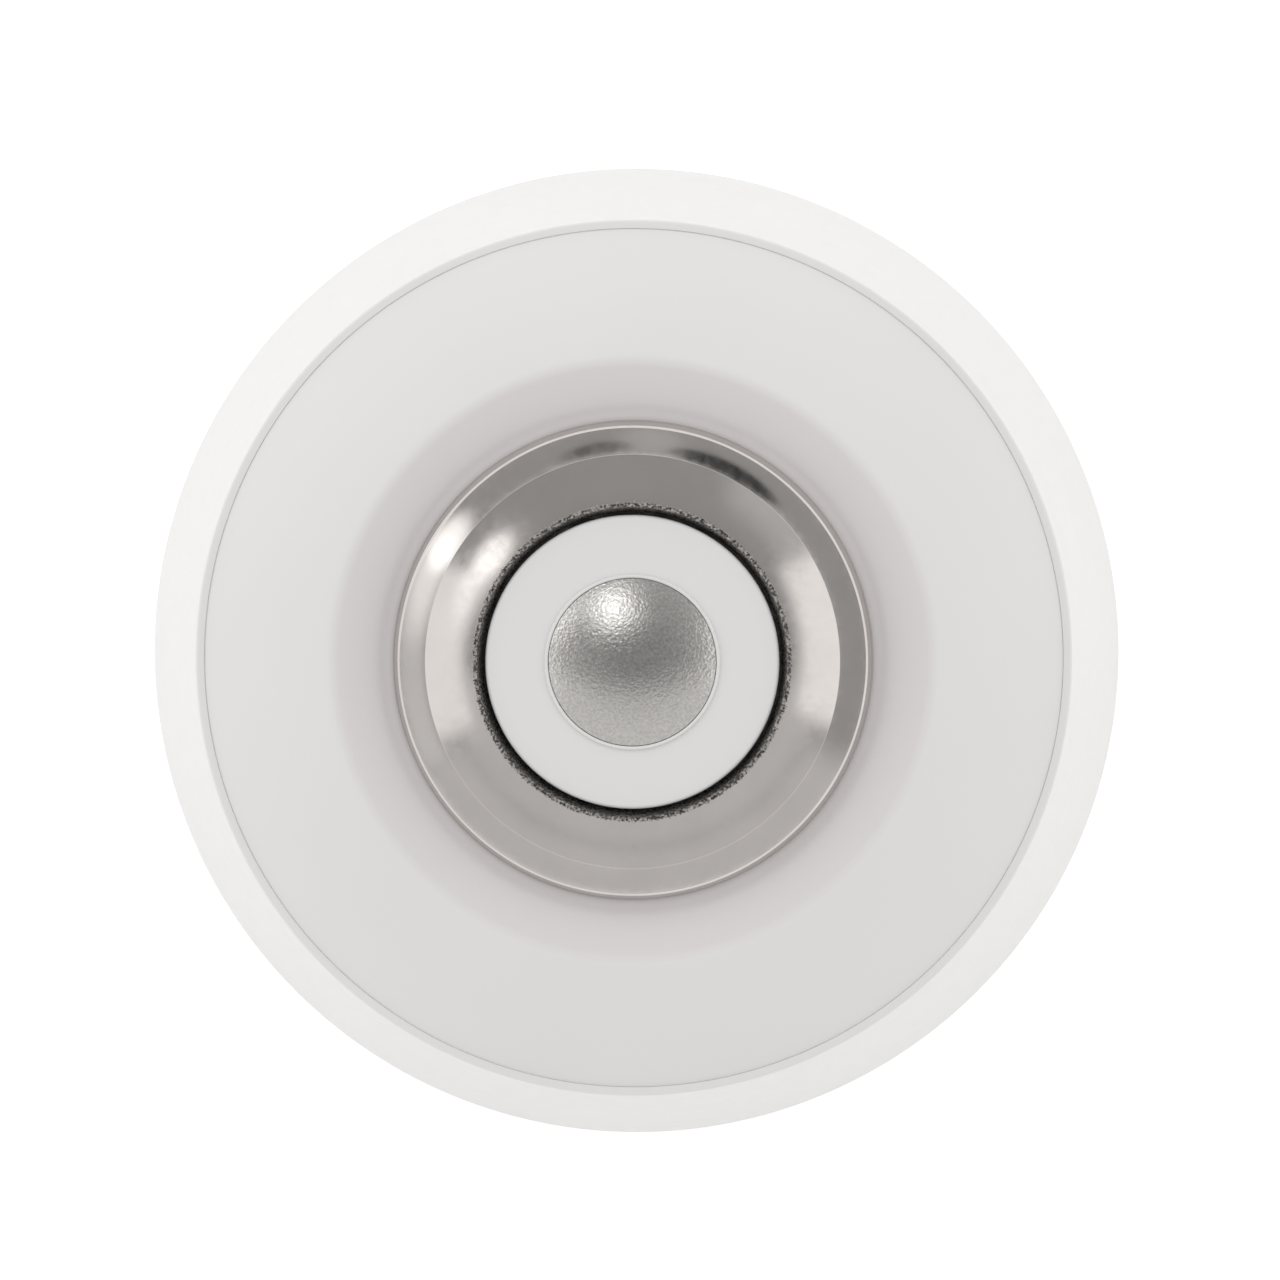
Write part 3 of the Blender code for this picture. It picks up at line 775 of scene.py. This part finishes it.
def build_screw(node, head_r, shank_r, steel):
    """A countersunk screw with a tapered cross recess and rolled threads."""
    low = bottom_of(node)
    tip = top_of(node)
    place = centre_of(node)
    cone = low + 0.2 * MM + head_r - shank_r
    pitch = 0.5 * MM
    depth = 0.16 * MM
    first_z = tip - 0.6 * MM
    turns = int((first_z - cone - 0.3 * MM) / pitch)
    profile = [(0.0, tip), (shank_r * 0.7, tip), (shank_r - depth, tip - 0.5 * MM)]
    for i in range(turns):
        z = first_z - i * pitch
        profile += [(shank_r - depth, z), (shank_r, z - pitch * 0.35), (shank_r, z - pitch * 0.5)]
    profile += [
        (shank_r - depth, cone + 0.1 * MM),
        (shank_r, cone),
        (head_r, low + 0.2 * MM),
        (head_r, low + 0.05 * MM),
        (head_r - 0.08 * MM, low),
        (0.0, low),
    ]
    piece = turned(f"{node}_threaded", profile, SMALL, False)
    tools = [recess_wing(node, k, head_r, low) for k in range(2)]
    boolean(piece, tools)
    number = int(node[-1])
    turn = math.atan2(place.y, place.x) + 0.35 * (number - 1)
    piece.data.transform(Matrix.Rotation(turn, 4, 'Z'))
    move(piece, place.x, place.y)
    return dress(piece, "housing", "screw_steel", [node], steel)


def recess_wing(node, k, head_r, low):
    """One of the two crossed wings that cut a screw's recess."""
    shape = bmesh.new()
    bmesh.ops.create_cube(shape, size=1.0)
    for v in shape.verts:
        deep = v.co.z > 0
        v.co.x *= head_r * (0.55 if deep else 1.15)
        v.co.y *= head_r * (0.18 if deep else 0.30)
        v.co.z = low + (head_r * 0.42 if deep else -0.3 * MM)
    bmesh.ops.rotate(shape, verts=shape.verts, matrix=Matrix.Rotation(k * math.pi / 2, 3, 'Z'))
    return shape_to_object(f"wing_{node}_{k}", shape)


def build_stem(steel):
    """The stem, with a head under the magnet and a groove for the clip."""
    low = bottom_of("plunger_stem")
    high = top_of("plunger_stem")
    head_r = radius_of("plunger_stem")
    head_z = high - 1.5 * MM
    clip_low = bottom_of("retaining_clip") - 0.2 * MM
    clip_high = top_of("retaining_clip") + 0.2 * MM
    stem_r = 3.0 * MM
    groove_r = 2.25 * MM
    corners = [
        (0.0, high),
        (head_r, high, 0.2 * MM),
        (head_r, head_z, 0.2 * MM),
        (stem_r, head_z, 0.15 * MM),
        (stem_r, clip_high, 0.08 * MM),
        (groove_r, clip_high, 0.05 * MM),
        (groove_r, clip_low, 0.05 * MM),
        (stem_r, clip_low, 0.05 * MM),
        (stem_r, low, 0.3 * MM),
        (1.0 * MM, low, 0.05 * MM),
        (0.0, low + 0.6 * MM),
    ]
    piece = turned("plunger_stem_ground", rounded(corners, False), SMALL, False)
    return dress(piece, "plunger", "stem_steel", ["plunger_stem"], steel)


def build_clip(dark):
    """An E-shaped retaining clip: a ring with a mouth and two notches."""
    low = bottom_of("retaining_clip")
    high = top_of("retaining_clip")
    inner = 2.5 * MM
    outer = 4.8 * MM
    soft = 0.08 * MM
    corners = [(inner, high, soft), (outer, high, soft), (outer, low, soft), (inner, low, soft)]
    piece = turned("retaining_clip_stamped", rounded(corners), SMALL)
    mouth = (4.6, 0.0, 8.0, 3.8)
    notches = [(-1.1, side * 3.0, 1.7, 1.7) for side in (1, -1)]
    tools = []
    for x, y, size_x, size_y in (mouth, *notches):
        shape = bmesh.new()
        bmesh.ops.create_cube(shape, size=1.0)
        bmesh.ops.scale(shape, vec=(size_x * MM, size_y * MM, 4 * MM), verts=shape.verts)
        bmesh.ops.translate(shape, vec=(x * MM, y * MM, low), verts=shape.verts)
        tools.append(shape_to_object(f"clip_cut_{x}_{y}", shape))
    boolean(piece, tools)
    return dress(piece, "plunger", "spring_steel", ["retaining_clip"], dark)


def build_washer(steel):
    low = bottom_of("stop_washer")
    high = top_of("stop_washer")
    outer = radius_of("stop_washer")
    inner = 3.3 * MM
    soft = 0.12 * MM
    corners = [(inner, high, soft), (outer, high, soft), (outer, low, soft), (inner, low, soft)]
    piece = turned("stop_washer_punched", rounded(corners), SMALL)
    return dress(piece, "plunger", "stem_steel", ["stop_washer"], steel)


def build_bush(bronze):
    """The flanged bearing of the stem, in the yoke's floor."""
    low = bottom_of("stem_bush")
    high = top_of("stem_bush")
    outer = radius_of("stem_bush")
    flange_z = high - 1.5 * MM
    inner = 3.3 * MM
    barrel_r = 5.5 * MM
    soft = 0.12 * MM
    corners = [
        (inner, high, 0.2 * MM),
        (outer, high, soft),
        (outer, flange_z, soft),
        (barrel_r, flange_z, 0.05 * MM),
        (barrel_r, low, soft),
        (inner, low, 0.2 * MM),
    ]
    piece = turned("stem_bush_turned", rounded(corners), SMALL)
    return dress(piece, "housing", "bearing_bronze", ["stem_bush"], bronze)


def build_spring(dark):
    """The coil round the plunger's neck."""
    low = bottom_of("return_spring")
    high = top_of("return_spring")
    wire = 0.5 * MM
    mean_r = radius_of("return_spring") - wire
    closed_pitch = 2.3 * wire    # of the first and the last turn
    turns = 4.5
    per_turn = 40
    sides = 12
    shape = bmesh.new()
    rings = []
    count = int(turns * per_turn)
    first = low + wire
    free = high - low - 2 * wire - 2 * closed_pitch
    for i in range(count + 1):
        turn = i / per_turn
        ends = min(turn, 1.0) + max(turn - (turns - 1.0), 0.0)
        middle = min(max(turn - 1.0, 0.0), turns - 2.0) / (turns - 2.0)
        z = first + closed_pitch * ends + free * middle
        angle = math.tau * turn
        ring = []
        for k in range(sides):
            a = math.tau * k / sides
            r = mean_r + wire * math.cos(a)
            place = (r * math.cos(angle), r * math.sin(angle), z + wire * math.sin(a))
            ring.append(shape.verts.new(place))
        rings.append(ring)
    for one, two in zip(rings, rings[1:]):
        bridge(shape, one, two)
    shape.faces.new(rings[0])
    shape.faces.new(rings[-1])
    bmesh.ops.recalc_face_normals(shape, faces=shape.faces)
    piece = shape_to_object("return_spring_coil", shape)
    dress(piece, "housing", "spring_steel", ["return_spring"], dark)
    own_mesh(piece)
    return piece


def dress_inner_nodes(finishes):
    """Better materials for the CAD nodes that stay, all hidden inside."""
    for node, surface in finishes.items():
        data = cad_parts[node].data
        data.materials.clear()
        data.materials.append(surface)


# --------------------------------------------------------------------- stage
def build_floor():
    """A white floor that glows a little, so that it stays white near the puck."""
    shape = bmesh.new()
    bmesh.ops.create_circle(shape, cap_ends=True, segments=96, radius=FLOOR_R)
    floor = move(shape_to_object("studio_floor", shape), 0.0, 0.0, -FLOOR_DROP)
    s = Surface("floor_white", (0.95, 0.95, 0.95), 0.9)
    s.shader.inputs["Specular IOR Level"].default_value = 0.0
    s.shader.inputs["Emission Color"].default_value = (1.0, 1.0, 1.0, 1.0)
    s.shader.inputs["Emission Strength"].default_value = 0.35
    floor.data.materials.append(s.material)


def build_camera():
    """A long lens over the puck, with +X to its right and +Y upward."""
    camera = bpy.data.cameras.new("camera")
    camera.lens = CAMERA_LENS
    camera.sensor_width = CAMERA_SENSOR
    camera.clip_end = 20.0
    obj = bpy.data.objects.new("camera", camera)
    bpy.context.scene.collection.objects.link(obj)
    way = Vector((math.tan(CAMERA_TILT_X), math.tan(CAMERA_TILT_Y), 1.0)).normalized()
    obj.location = CAMERA_AIM + way * CAMERA_DISTANCE
    right = Vector((0.0, 1.0, 0.0)).cross(way).normalized()
    up = way.cross(right)
    obj.matrix_world = Matrix.Translation(obj.location) @ Matrix((right, up, way)).transposed().to_4x4()
    bpy.context.scene.camera = obj


class Studio(Nodes):
    """The room as a world shader.

    Polished metal reflects a grey shell with soft panels of light, matt
    surfaces are lit by an even sky, and the camera sees plain white.
    """

    def __init__(self):
        world = bpy.data.worlds.new("studio")
        bpy.context.scene.world = world
        world.use_nodes = True
        world.cycles.sampling_method = 'NONE'
        super().__init__(world.node_tree)
        self.back = self.tree.nodes["Background"]
        self.way = self.node("ShaderNodeTexCoord").outputs["Generated"]
        self.x, self.y, z = self.split(self.way)
        self.height = self.math('ARCSINE', z)

    def dot(self, vector):
        """The part of a direction that lies along the vector."""
        made = self.node("ShaderNodeVectorMath", operation='DOT_PRODUCT')
        self.link(self.way, made.inputs[0])
        made.inputs[1].default_value = vector
        return made.outputs["Value"]

    def fade(self, value, near, far, high, low=0.0):
        """High at or before near, low from far on, and smooth between."""
        made = self.node("ShaderNodeMapRange", interpolation_type='SMOOTHSTEP')
        self.link(value, made.inputs["Value"])
        made.inputs["From Min"].default_value = near
        made.inputs["From Max"].default_value = far
        made.inputs["To Min"].default_value = high
        made.inputs["To Max"].default_value = low
        return made.outputs[0]

    def offsets(self, azimuth, elevation):
        """How far, in degrees, a direction is to the side of and above a place."""
        a = math.radians(azimuth)
        ahead = self.dot((math.cos(a), math.sin(a), 0.0))
        aside = self.dot((-math.sin(a), math.cos(a), 0.0))
        swing = self.math('DEGREES', self.math('ABSOLUTE', self.math('ARCTAN2', aside, ahead)))
        rise = self.math('ABSOLUTE', self.math('SUBTRACT', self.math('DEGREES', self.height), elevation))
        return swing, rise

    def panel(self, azimuth, elevation, half_width, half_height, soft, level):
        """A rectangular panel with soft edges.  All angles are in degrees."""
        swing, rise = self.offsets(azimuth, elevation)
        across = self.fade(swing, half_width - soft, half_width + soft, 1.0)
        along = self.fade(rise, half_height - soft, half_height + soft, level)
        return self.math('MULTIPLY', across, along)

    def spot(self, azimuth, elevation, half_width, half_height, soft, level):
        """An oval panel.  soft is the share of its size over which it fades."""
        swing, rise = self.offsets(azimuth, elevation)
        across = self.math('DIVIDE', swing, half_width)
        along = self.math('DIVIDE', rise, half_height)
        return self.fade(self.length(across, along), 1.0 - soft, 1.0 + soft, level)

    def gather(self, operation, amounts):
        """Joins several amounts with one kind of sum."""
        total = amounts[0]
        for amount in amounts[1:]:
            total = self.math(operation, total, amount)
        return total

    def low_wall(self, level):
        """The large panel towards -Y, whose top edge the dome shows as a curve."""
        dip = self.math('MULTIPLY', self.square(self.x), 0.6)
        inside = self.math('SUBTRACT', dip, self.y)
        edge = self.fade(inside, 0.17, 0.21, 0.0, level)
        overhead = self.fade(self.height, math.radians(46.0), math.radians(58.0), 0.0, 1.0)
        return self.gather('MAXIMUM', [
            self.math('MULTIPLY', edge, overhead),
            self.panel(-90.0, 16.0, 63.0, 38.0, 6.0, level),
        ])

    def close(self, mirrored, sky):
        """Sends each kind of ray its own brightness."""
        path = self.node("ShaderNodeLightPath")
        mirror = path.outputs["Is Glossy Ray"]
        camera = path.outputs["Is Camera Ray"]
        rest = self.math('SUBTRACT', self.math('SUBTRACT', 1.0, mirror), camera)
        total = self.gather('ADD', [
            self.math('MULTIPLY', mirrored, mirror),
            self.math('MULTIPLY', sky, rest),
            camera,
        ])
        self.link(total, self.back.inputs["Strength"])
        self.back.inputs["Color"].default_value = (1.0, 0.995, 0.99, 1.0)


def area_light(name, azimuth, elevation, distance, size, radiance, glossy=True):
    """A square soft light that faces the puck."""
    data = bpy.data.lights.new(name, 'AREA')
    data.shape = 'SQUARE'
    data.size = size
    data.energy = radiance * math.pi * size * size
    obj = bpy.data.objects.new(name, data)
    bpy.context.scene.collection.objects.link(obj)
    a = math.radians(azimuth)
    e = math.radians(elevation)
    way = Vector((math.cos(e) * math.cos(a), math.cos(e) * math.sin(a), math.sin(e)))
    obj.location = way * distance
    obj.rotation_euler = way.to_track_quat('Z', 'Y').to_euler()
    obj.visible_camera = False
    obj.visible_glossy = glossy
    return obj


def build_lights(dome):
    """The room, one soft lamp for the matt surfaces and two for the dome.

    Seen from above, the seat ring's inner band mirrors heights of 49 to 65
    degrees, its chamfer about 31 degrees and its outer band the lowest ones.
    """
    studio = Studio()
    shell = studio.fade(studio.height, math.radians(60.0), math.radians(84.0), 0.43, 0.25)
    even = studio.gather('ADD', [shell, studio.low_wall(0.29)])
    _, off_belt = studio.offsets(0.0, 31.0)
    boxes = studio.gather('MAXIMUM', [
        even,
        # left of the puck: a high panel and a low one
        studio.panel(180.0, 48.0, 26.0, 13.0, 4.0, 1.20),
        studio.panel(180.0, 10.0, 34.0, 12.0, 7.0, 0.80),
        # right of it: a high panel that fades away towards +Y
        studio.panel(4.0, 49.0, 27.0, 13.5, 4.5, 1.28),
        studio.panel(28.0, 49.0, 40.0, 15.0, 14.0, 0.66),
        # all round: a belt for the chamfer
        studio.fade(off_belt, 6.0, 10.0, 1.2),
    ])
    mirrored = studio.gather('ADD', [
        boxes,
        # two streaks, each with a firm end and a long tail
        studio.spot(147.0, 59.0, 9.0, 4.5, 0.35, 1.1),
        studio.spot(156.0, 59.0, 16.0, 5.0, 0.6, 0.5),
        studio.spot(149.0, 13.0, 8.0, 11.0, 0.4, 1.0),
        studio.spot(159.0, 12.0, 15.0, 12.0, 0.6, 0.45),
        # dark patches low towards +Y, and a light one between them
        studio.spot(63.0, 18.5, 16.0, 6.0, 0.2, -0.37),
        studio.spot(101.0, 17.0, 9.0, 4.5, 0.4, -0.24),
        studio.spot(86.0, 12.0, 8.0, 9.0, 0.5, 0.14),
    ])
    sky = studio.gather('ADD', [
        studio.panel(180.0, 20.0, 50.0, 30.0, 15.0, 0.50),
        studio.panel(0.0, 20.0, 50.0, 30.0, 15.0, 0.46),
        studio.fade(studio.y, -1.0, 1.0, 0.63, 0.80),
    ])
    studio.close(mirrored, sky)
    area_light("fill_above", 104.0, 50.0, 0.9, 0.7, 0.5, glossy=False)
    lit = bpy.data.collections.new("lit_by_dome_keys")
    lit.objects.link(dome)
    for name, size, radiance in (("dome_key", 0.07, 2.6), ("dome_glow", 0.15, 0.8)):
        key = area_light(name, 114.0, 72.3, 0.6, size, radiance)
        key.light_linking.receiver_collection = lit


# ---------------------------------------------------------------------- main
def main():
    white = moulded("skirt_white", (0.775, 0.77, 0.765), 0.42).material
    cap_white = moulded("cap_white", (0.775, 0.768, 0.762), 0.42).material
    # the lip's brighter white is a painted highlight on the moulded cap
    lip_painted_highlight = moulded("lip_painted_highlight", (0.93, 0.925, 0.92), 0.3).material
    screw_steel = zinc_sheet("screw_steel", (0.60, 0.61, 0.62), 0.3)
    stem_steel = turned_metal("stem_steel", (0.62, 0.62, 0.62), 0.24)
    spring_steel = turned_metal("spring_steel", (0.34, 0.35, 0.37), 0.32)
    bronze = turned_metal("bearing_bronze", (0.60, 0.42, 0.22), 0.38)
    yoke_steel = turned_metal("yoke_steel", (0.42, 0.43, 0.45), 0.38)
    build_skirt(white)
    build_crown(crown_plastic())
    # the seat ring's chamfer and wall get a brighter copy of the plating, a painted highlight that the
    # belt lamp also lights
    build_seat_ring(nickel_plate(), highlight_metal("seat_wall_painted_highlight", (0.96, 0.95, 0.935), 0.10))
    build_cap(cap_white, lip_painted_highlight)
    dome = build_dome(dimpled_steel())
    build_foot(rubber("foot_rubber", (0.035, 0.035, 0.036)))
    build_base_plate(zinc_sheet("zinc_plate", (0.64, 0.65, 0.66), 0.36))
    for node, head_r, shank_r in screw_nodes():
        build_screw(node, head_r, shank_r, screw_steel)
    build_stem(stem_steel)
    build_clip(spring_steel)
    build_washer(stem_steel)
    build_bush(bronze)
    build_spring(spring_steel)
    plating = zinc_sheet("magnet_plating", (0.66, 0.66, 0.64), 0.28)
    brass = turned_metal("insert_brass", (0.74, 0.56, 0.28), 0.32)
    finishes = {
        "yoke_cup": yoke_steel,
        "pole_washer": yoke_steel,
        "ring_magnet_lower": plating,
        "ring_magnet_upper": plating,
        "centre_magnet": plating,
        "magnet_centring_ring": moulded("centring_plastic", (0.16, 0.16, 0.17), 0.5).material,
        "guide_sleeve": bronze,
        "seat_gasket": rubber("gasket_rubber", (0.06, 0.06, 0.06)),
        "clamp_nut": turned_metal("nut_steel", (0.52, 0.52, 0.53), 0.36),
    }
    for i in range(4):
        finishes[f"insert_{i + 1}"] = brass
    dress_inner_nodes(finishes)
    build_floor()
    build_camera()
    build_lights(dome)
    bpy.context.scene.view_settings.view_transform = 'Standard'


main()
